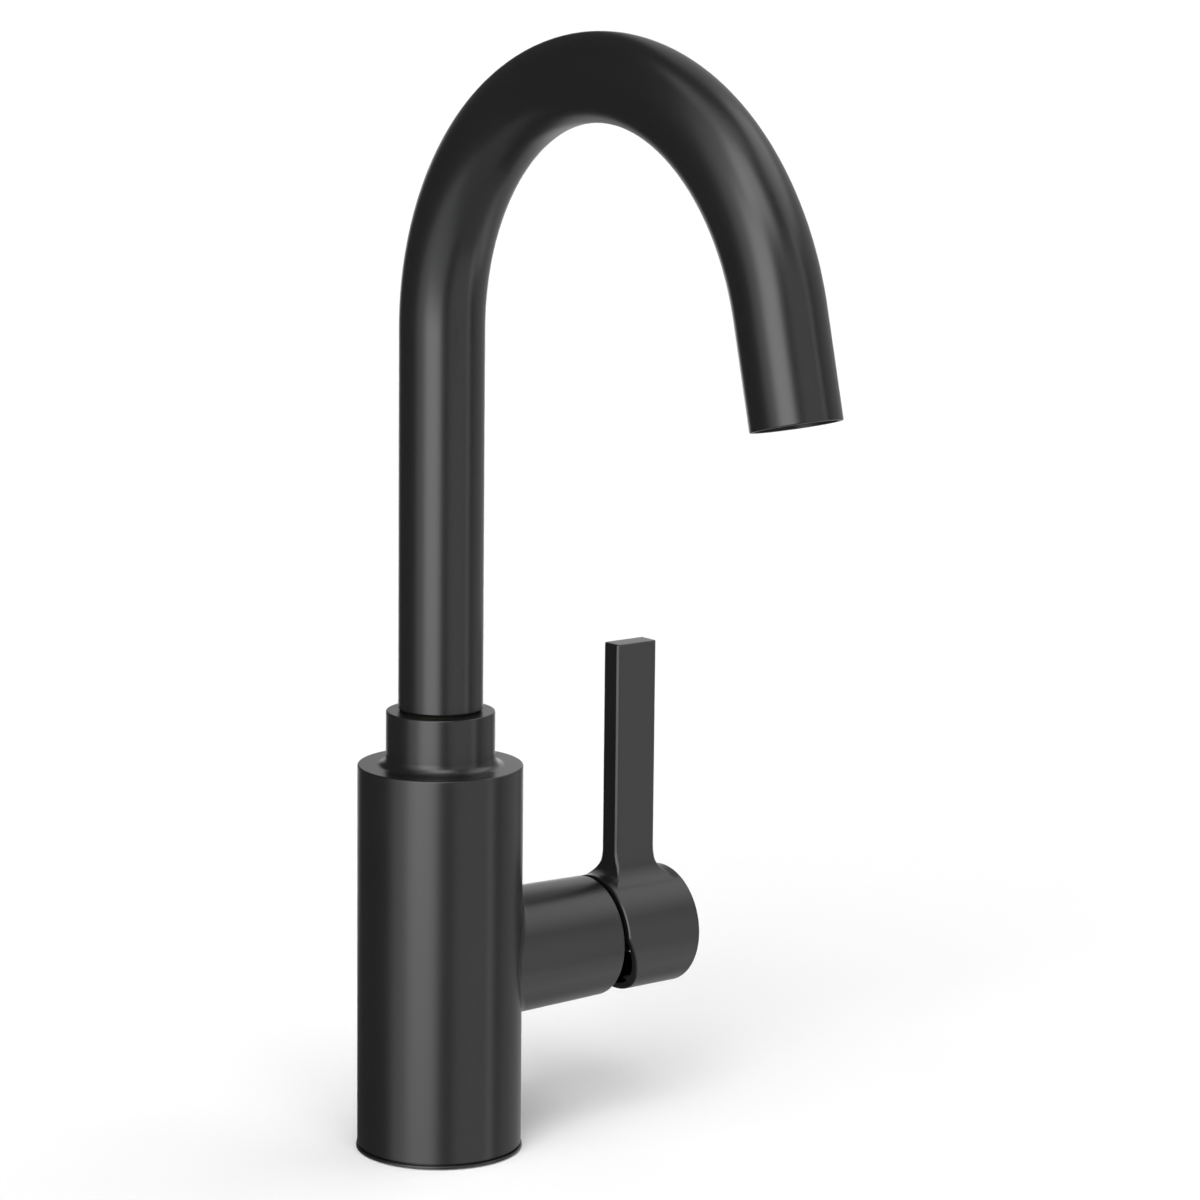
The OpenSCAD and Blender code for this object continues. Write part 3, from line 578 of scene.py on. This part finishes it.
def addHub(skin, s):
    outR, bore, boss, end, e = s["radius"], s["bore"], s["boss"], s["end"], s["edge"]
    footTurn, footA, footB = bladeFoot(s)[1:]
    floorX = end - s["face"]
    slope = math.tan(math.radians(s["reliefDeg"]))
    before, after = math.pi - s["grubTurn"], math.pi + s["grubTurn"]
    turns = stops(-footTurn, (footTurn, s["acrossFoot"]), (before, s["wallSteps"]),
                  (after, s["grubSteps"]), (2 * math.pi - footTurn, s["wallSteps"]))
    rows = np.linspace(footA, footB, s["alongFoot"] + 1)
    firstGrub = s["acrossFoot"] + s["wallSteps"]
    grubColumns = (firstGrub, firstGrub + s["grubSteps"])

    def rimX(turn, radius):
        return s["start"] + np.maximum(0, s["reliefUp"] - radius * np.cos(turn)) * slope

    def outerAlong(turn, v):
        # Grid lines are straight at the foot and give way to the relief below
        fromTop = np.abs((turn + math.pi) % (2 * math.pi) - math.pi)
        away = eased(np.clip((fromTop - footTurn) / s["reliefEase"], 0, 1))
        start = footA + (rimX(math.pi, outR) + s["reliefClear"] - footA) * away
        return start + (v - footA) * (footB - start) / (footB - footA)

    def innerAlong(turn, v):
        start = rimX(turn, bore)
        return start + (v - footA) * (floorX - start) / (footB - footA)

    def bossAlong(turn, v):
        return s["bossX"] + (v - footA) * (floorX - s["bossX"]) / (footB - footA)

    def holedTube(radius, along, sign, us, columns, block):
        # A round wall with the vertical screw hole, whose edge lies on the grid's own lines
        border = blockBorder(us[columns[0]:columns[1] + 1], rows[block[0]:block[1] + 1])
        x = along(border[:, 0], border[:, 1])
        spoke = np.unwrap(np.arctan2((border[:, 0] - math.pi) * radius, x - s["grubX"]))
        turn = math.pi + np.arcsin(s["grubHole"] * np.sin(spoke) / radius)
        wanted = s["grubX"] + s["grubHole"] * np.cos(spoke)
        low, high = (along(turn, np.full_like(turn, foot)) for foot in (footA, footB))
        v = footA + (wanted - low) * (footB - footA) / (high - low)

        def place(turn, v):
            return roundValve(turn, radius, along(turn, v)), fromValve(turn) * sign

        holedGrid(skin, us, rows, (*columns, *block), place, np.stack([turn, v], -1))
        inward = -np.stack([np.cos(spoke), -np.sin(spoke), np.zeros_like(spoke)], -1)
        return roundValve(turn, radius, wanted), inward

    # Outer wall: a band along the rim, the grid with the screw hole, and a band to the outer edge
    away = fromValve(turns)
    rimRow = rimX(turns, outR) + s["rim"]
    share = np.linspace(0, 1, s["rimSteps"] + 1)[:, None]
    band = rimRow * (1 - share) + outerAlong(turns, np.full_like(turns, footA)) * share
    skin.patch(roundValve(turns, outR, band), np.tile(away, (len(share), 1, 1)))
    outerHole = holedTube(outR, outerAlong, 1, turns[s["acrossFoot"]:],
                          tuple(c - s["acrossFoot"] for c in grubColumns), s["grubBlock"])[0]
    spin(skin, [line((footB, outR), (end - e, outR)), arc((end - e, outR - e), e, 90, 0),
                line((end, outR - e), (end, s["faceRing"]), 3)], valveAxes, turns)
    skin.cap(roundValve(turns, s["faceRing"], end)[:-1], (1, 0, 0))

    # Rim: a small chamfer, then the cut face, which is slanted below the relief's start
    chamfered = roundValve(turns, outR - s["rim"], rimX(turns, outR - s["rim"]))
    cut = np.where((outR * np.cos(turns) < s["reliefUp"])[:, None], [[-1.0, 0, -slope]], [[-1.0, 0, 0]])
    cut /= np.linalg.norm(cut, axis=1, keepdims=True)
    skin.patch([roundValve(turns, outR, rimRow), chamfered], [cut + away, cut + away])
    skin.patch([chamfered, roundValve(turns, bore, rimX(turns, bore))], [cut, cut])

    # Inside: bore, its floor, the boss with the square socket, and the screw's tunnels
    innerHole, inward = holedTube(bore, innerAlong, -1, turns, grubColumns, s["grubBlock"])
    skin.patch([outerHole, innerHole], [inward, inward])
    spin(skin, [line((floorX, bore), (floorX, boss), 2)], valveAxes, turns)
    bossColumns = (grubColumns[0] - s["bossMore"], grubColumns[1] + s["bossMore"])
    bossHole, inward = holedTube(boss, bossAlong, 1, turns, bossColumns, s["bossBlock"])
    deep = bossHole.copy()
    deep[:, 2] = valveZ - s["socket"] - s["grubWall"]
    skin.patch([bossHole, deep], [inward, inward])
    skin.cap(deep[:-1], (0, 0, -1))
    sine, cosine = np.sin(turns), np.cos(turns)
    squareR = s["socket"] / np.maximum(np.abs(cosine), np.abs(sine))
    level = np.abs(cosine) > np.abs(sine)
    flat = np.stack([np.zeros_like(turns), np.where(level, 0, -np.sign(sine)),
                     np.where(level, -np.sign(cosine), 0)], -1)
    mouth, floor = (roundValve(turns, squareR, x) for x in (s["bossX"], s["socketX"]))
    endward = np.tile([-1.0, 0, 0], (len(turns), 1))
    skin.patch([roundValve(turns, boss, s["bossX"]), mouth], [endward, endward])
    skin.patch([mouth, floor], [flat, flat])
    skin.cap(floor[:-1], (-1, 0, 0))


def brokenEdge(turn, flatShare, flatness):
    # A corner broken flat and softened at both sides: along and off its chord, and its share of the turn
    start, end = 0.5 - flatShare / 2, 0.5 + flatShare / 2
    shares = stops(0, (start, 3), (end, 2), (1, 3))
    middles = (shares[1:] + shares[:-1]) / 2
    lengths = np.diff(shares) * np.where((middles > start) & (middles < end), flatness, 1.0)
    lean = turn * (0.5 - middles)
    along = np.concatenate([[0], np.cumsum(lengths * np.cos(lean))])
    off = np.concatenate([[0], np.cumsum(lengths * np.sin(lean))])
    return along / along[-1], off / along[-1], shares


def bladeRows(s):
    # From the top down: height, half thickness, lean of the broad faces, inset at the crown and its rise
    halfT, broad, crown = s["bladeThick"] / 2, s["faceFillet"], s["crown"]
    footUp, footTurn = bladeFoot(s)[:2]
    shoulder = s["bladeTop"] - valveZ - crown
    for a in np.linspace(math.pi / 2, 0, s["crownSteps"] + 1):
        inset = crown * (1 - math.cos(a))
        yield shoulder + crown * math.sin(a), halfT - inset, 0.0, inset, a
    for up in stops(shoulder, (footUp, s["bladeSteps"]))[1:]:
        yield up, halfT, 0.0, 0.0, 0.0
    for a in stops(0, (math.pi / 2 - footTurn, s["footSteps"]))[1:]:
        yield footUp - broad * math.sin(a), halfT + broad - broad * math.cos(a), a, 0.0, 0.0


def addBlade(skin, s):
    # Each row has four faces and four broken corners, named by their side in x and in y
    outR, side = s["radius"], s["sideFillet"]
    easeFrom = bladeFoot(s)[0] + s["footEase"]
    corners = [(-1, -1), (1, -1), (-1, 1), (1, 1)]
    points = {key: [] for key in [(0, -1), (0, 1), (-1, 0), (1, 0), *corners]}
    normals = {key: [] for key in points}
    for up, y, lean, inset, rise in bladeRows(s):
        away = math.hypot(up, y)
        drop = min(max(outR + side - away, 0.0), side)
        halfW = s["bladeWidth"] / 2 + side - math.sqrt(side * side - drop * drop) - inset
        bulge = eased(min(max((easeFrom - away) / (easeFrom - outR - side), 0.0), 1.0))
        lift = np.array([0, 0, math.sin(rise)])
        flank = math.sqrt(max(1 - (drop / side) ** 2, 0.0))
        cornerTurn = math.atan2(y, up)

        def sideNormal(turn):
            return (fromValve(turn) * (drop / side) + [flank, 0, 0]) * math.cos(rise) + lift

        # The turn between the faces at a corner, seen from above, and how far the broken corner reaches
        broadN = np.array([0, math.cos(lean), math.sin(lean)]) * math.cos(rise) + lift
        sideN = sideNormal(cornerTurn)
        meeting = float(broadN @ sideN) - math.sin(rise) ** 2
        turnBetween = math.acos(min(max(meeting, -1.0), 1.0))
        reach = (s["bladeEdge"] - inset) * math.tan(turnBetween / 2)
        spanX = np.linspace(-(halfW - reach), halfW - reach, s["alongFoot"] + 1)
        for sign in (-1, 1):
            points[0, sign].append([[s["bladeX"] + x, sign * y, up] for x in spanX])
            normals[0, sign].append([broadN * [1, sign, 1]] * len(spanX))

        # The side faces are level rows above and bend to the hub's round below
        inner = cornerTurn - reach / away
        turns = np.linspace(-inner, inner, s["acrossFoot"] + 1)
        level = np.linspace(-(y - reach), y - reach, s["acrossFoot"] + 1)
        sideY = (1 - bulge) * level + bulge * away * np.sin(turns)
        sideUp = (1 - bulge) * up + bulge * away * np.cos(turns)
        for sign in (-1, 1):
            points[sign, 0].append([[s["bladeX"] + sign * halfW, *spot] for spot in zip(sideY, sideUp)])
            normals[sign, 0].append([sideNormal(a) * [sign, 1, 1] for a in turns])
        for sx, sy in corners:
            one = np.array(points[0, sy][-1][0 if sx < 0 else -1])
            two = np.array(points[sx, 0][-1][0 if sy < 0 else -1])
            nOne, nTwo = broadN * [1, sy, 1], sideN * [sx, sy, 1]
            out = nOne + nTwo
            out *= np.linalg.norm(two - one) / max(np.linalg.norm(out), tiny)
            along, off, shares = brokenEdge(turnBetween, s["edgeFlatShare"], s["edgeFlatness"])
            edge = one + (two - one) * along[:, None] + out * off[:, None]
            edge[0], edge[-1] = one, two
            points[sx, sy].append(edge)
            normals[sx, sy].append(between(nOne, nTwo, max(turnBetween, s["leastTurn"]), shares[:, None]))
    onAxis = np.array([0, 0, valveZ])
    for key in points:
        skin.patch(np.array(points[key]) + onAxis, normals[key])
    first = {key: rows[0] for key, rows in points.items()}
    loop = [*first[0, -1], *first[1, -1][1:-1], *first[1, 0], *first[1, 1][1:-1][::-1],
            *first[0, 1][::-1], *first[-1, 1][1:-1], *first[-1, 0][::-1], *first[-1, -1][1:-1][::-1]]
    skin.cap(np.array(loop) + onAxis, (0, 0, 1))


def buildHandle(s):
    skin = Skin()
    addHub(skin, s)
    addBlade(skin, s)
    skin.build("handleCasting", "lever", "coating", "handle")


buildHandle(handle)
print("stage: handle built")


spout = {
    "radius": 12.7, "bore": 11.5, "foot": 135.55, "bendZ": 249.5, "bendR": 77.4, "sweepDeg": 165.9,
    "outlet": 30.3, "edge": 0.35, "lip": 0.15,
    "around": 96, "riseSteps": 5, "bendSteps": 120, "outletSteps": 4, "edgeSteps": 5,
}


def buildSpout(s):
    skin = Skin()
    sweep = math.radians(s["sweepDeg"])
    bend = s["bendR"] * sweep
    rise = s["bendZ"] - s["foot"]
    whole = rise + bend + s["outlet"]
    outR, bore, e, lip, steps = s["radius"], s["bore"], s["edge"], s["lip"], s["edgeSteps"]

    def centre(along):
        # Point and direction on the centreline, by length from the foot
        if along <= rise:
            return np.array([0, 0, s["foot"] + along]), np.array([0, 0, 1.0])
        a = min((along - rise) / s["bendR"], sweep)
        ahead = np.array([0, -math.sin(a), math.cos(a)])
        bent = np.array([0, s["bendR"] * (math.cos(a) - 1), s["bendZ"] + s["bendR"] * math.sin(a)])
        return bent + ahead * max(along - rise - bend, 0.0), ahead

    def wall(stations, radius, sign):
        profile = np.stack([stations, np.full_like(stations, radius)], -1)
        return profile, np.tile([0, sign], (len(stations), 1))

    outside = stops(e, (rise, s["riseSteps"]), (rise + bend, s["bendSteps"]), (whole - e, s["outletSteps"]))
    inside = np.concatenate([[lip], outside[1:-1], [whole - lip]])[::-1]
    around = np.radians(stops(0, (360, s["around"])))
    for profile, leans in (
            wall(outside, outR, 1), arc((whole - e, outR - e), e, 90, 0, steps),
            line((whole, outR - e), (whole, bore + lip)), arc((whole - lip, bore + lip), lip, 0, -90, steps),
            wall(inside, bore, -1), arc((lip, bore + lip), lip, 270, 180, steps),
            line((0, bore + lip), (0, outR - e)), arc((e, outR - e), e, 180, 90, steps)):
        points, normals = [], []
        for (along, radius), (lengthways, outwards) in zip(profile, leans):
            base, ahead = centre(along)
            across = np.cross(ahead, [1.0, 0, 0])
            out = np.outer(np.cos(around), [1.0, 0, 0]) + np.outer(np.sin(around), across)
            points.append(base + radius * out)
            normals.append(lengthways * ahead + outwards * out)
        skin.patch(points, normals)
    skin.build("spoutPipe", "spout", "coating", "spout_tube")


buildSpout(spout)
print("stage: spout tube built")


base = {
    "radius": 25.2, "height": 0.85, "bore": 20.2, "grooveIn": 21.05, "grooveOut": 22.85, "groove": 1.0,
    "neck": 24.0, "seat": 1.4, "lip": 22.1, "lipTop": 5.0, "edge": 0.3, "edgeSteps": 8, "around": 144,
}


def buildBase(s):
    skin = Skin()
    outR, h, e, bore = s["radius"], s["height"], s["edge"], s["bore"]
    foot = e / 2
    spin(skin, [
        *chain((0, bore), (0, s["grooveIn"]), (s["groove"], s["grooveIn"]),
               (s["groove"], s["grooveOut"]), (0, s["grooveOut"]), (0, outR - foot)),
        arc((foot, outR - foot), foot, 180, 90),
        line((foot, outR), (h - e, outR)),
        arc((h - e, outR - e), e, 90, 0, s["edgeSteps"]),
        *chain((h, outR - e), (h, s["neck"]), (s["seat"], s["neck"]), (s["seat"], s["lip"]),
               (s["lipTop"], s["lip"]), (s["lipTop"], bore), (0, bore)),
    ], bodyAxes, np.radians(stops(0, (360, s["around"]))))
    skin.build("baseRim", "root", "coating", "base_ring")


buildBase(base)
print("stage: base ring built")


# The studio: a pale floor and a round backdrop, under soft boxes that are painted on the world by direction.
# aim is the angle round the object from the camera's side, to the right; low and high are height angles
studio = {
    "floorSize": 24.0, "floorTone": 0.873, "floorGlow": 0.08, "floorRough": 0.9, "floorDrop": 0.0004,
    "wallTone": 0.985, "wallFoot": -0.05, "wallHeight": 14.0, "wallInset": 0.1, "wallSides": 96,
    "dim": 0.06, "softEdgeDeg": 6.0,
}
softBoxes = {
    "key": {"aim": -24.2, "half": 21.1, "low": -15.7, "high": 38.3, "glow": 3.43},
    "keySpill": {"aim": -37.7, "half": 33.3, "low": -45.8, "high": 62.9, "glow": 1.10},
    "overhead": {"aim": 1.6, "half": 32.6, "low": 41.2, "high": 70.7, "glow": 3.88},
    "fill": {"aim": 41.2, "half": 23.0, "low": -43.5, "high": 36.7, "glow": 0.89},
    "strip": {"aim": 74.2, "half": 3.2, "low": -40.8, "high": 36.5, "glow": 2.95},
    "sideHigh": {"aim": 108.0, "half": 34.5, "low": 31.0, "high": 59.4, "glow": 1.42},
    "sideLow": {"aim": 93.2, "half": 20.1, "low": -48.6, "high": -26.7, "glow": 0.81},
    "rearRight": {"aim": 135.8, "half": 42.8, "low": -58.4, "high": 60.8, "glow": 0.47},
    "rear": {"aim": 184.0, "half": 20.2, "low": -14.1, "high": 3.6, "glow": 1.08},
    "ceiling": {"aim": -15.6, "half": 115.9, "low": 66.8, "high": 95.0, "glow": 1.27},
    "under": {"aim": 4.4, "half": 120.0, "low": -95.0, "high": -47.7, "glow": 0.38},
}


def paintWorld(boxes, dim, softEdgeDeg):
    world = bpy.data.worlds.new("studioWorld")
    scene.world = world
    world.use_nodes = True
    paint = Paint(world.node_tree)
    toward = paint.add("ShaderNodeTexCoord", output="Generated")
    rise = paint.dot(toward, (0, 0, 1)).join("ARCSINE") * math.degrees(1)
    soft = softEdgeDeg / 2
    total = dim
    for s in boxes.values():
        aim = camera["azimuthDeg"] + s["aim"]
        ahead, aside = (paint.dot(toward, levelWay(way)) for way in (aim, aim + 90))
        swing = aside.join("ARCTAN2", ahead).join("ABSOLUTE") * math.degrees(1)
        share = paint.ramp(swing, s["half"] + soft, s["half"] - soft)
        share = share * paint.ramp(rise, s["low"] - soft, s["low"] + soft)
        share = share * paint.ramp(rise, s["high"] + soft, s["high"] - soft)
        total = share * s["glow"] + total
    sky = world.node_tree.nodes["Background"]
    world.node_tree.links.new(total.socket, sky.inputs["Strength"])
    sky.inputs["Color"].default_value = (1, 1, 1, 1)


# A soft lamp behind the handle, for the faces that look up
backLamp = {"aim": 176, "distance": 200, "width": 140, "low": 60, "high": 220, "glow": 0.5}


def hangBackLamp(s):
    lamp = bpy.data.lights.new("backLamp", "AREA")
    lamp.shape = "RECTANGLE"
    lamp.size, lamp.size_y = s["width"] * mm, (s["high"] - s["low"]) * mm
    lamp.energy = s["glow"] * math.pi * lamp.size * lamp.size_y
    away = levelWay(camera["azimuthDeg"] + s["aim"])
    holder = bpy.data.objects.new("backLamp", lamp)
    place = away * s["distance"] + Vector((0, 0, (s["low"] + s["high"]) / 2))
    holder.matrix_world = Matrix.LocRotScale(place * mm, away.to_track_quat("Z", "Y"), None)
    holder.visible_camera = False
    scene.collection.objects.link(holder)


def stagePiece(name, points, faces, paint):
    # The reflections show the soft boxes, so the stage stays out of them
    mesh = bpy.data.meshes.new(name)
    mesh.from_pydata(points, [], faces)
    mesh.materials.append(paint.material)
    piece = bpy.data.objects.new(name, mesh)
    piece.visible_glossy = False
    piece.visible_shadow = False
    scene.collection.objects.link(piece)
    return piece


def layFloor(s):
    half, drop = s["floorSize"] / 2, -s["floorDrop"]
    corners = [(-half, -half, drop), (half, -half, drop), (half, half, drop), (-half, half, drop)]
    tone = (*[s["floorTone"]] * 3, 1)
    paint = Finish("floorPaint", Roughness=s["floorRough"], Specular_IOR_Level=0, Base_Color=tone,
                   Emission_Color=tone, Emission_Strength=s["floorGlow"])
    stagePiece("studioFloor", corners, [(0, 1, 2, 3)], paint)


def hangBackdrop(s):
    # A round wall at the floor's far edge, for low views; it lights nothing
    radius, count = s["floorSize"] / 2 - s["wallInset"], s["wallSides"]
    turns = [2 * math.pi * i / count for i in range(count)]
    points = [(radius * math.cos(a), radius * math.sin(a), z)
              for z in (s["wallFoot"], s["wallHeight"]) for a in turns]
    faces = [(i, (i + 1) % count, (i + 1) % count + count, i + count) for i in range(count)]
    paint = Finish("backdropPaint", Roughness=1, Specular_IOR_Level=0, Base_Color=(0, 0, 0, 1),
                   Emission_Color=(*[s["wallTone"]] * 3, 1), Emission_Strength=1)
    stagePiece("studioBackdrop", points, faces, paint).visible_diffuse = False


paintWorld(softBoxes, studio["dim"], studio["softEdgeDeg"])
hangBackLamp(backLamp)
layFloor(studio)
hangBackdrop(studio)
scene.view_settings.view_transform = "Standard"
print("stage: studio ready")
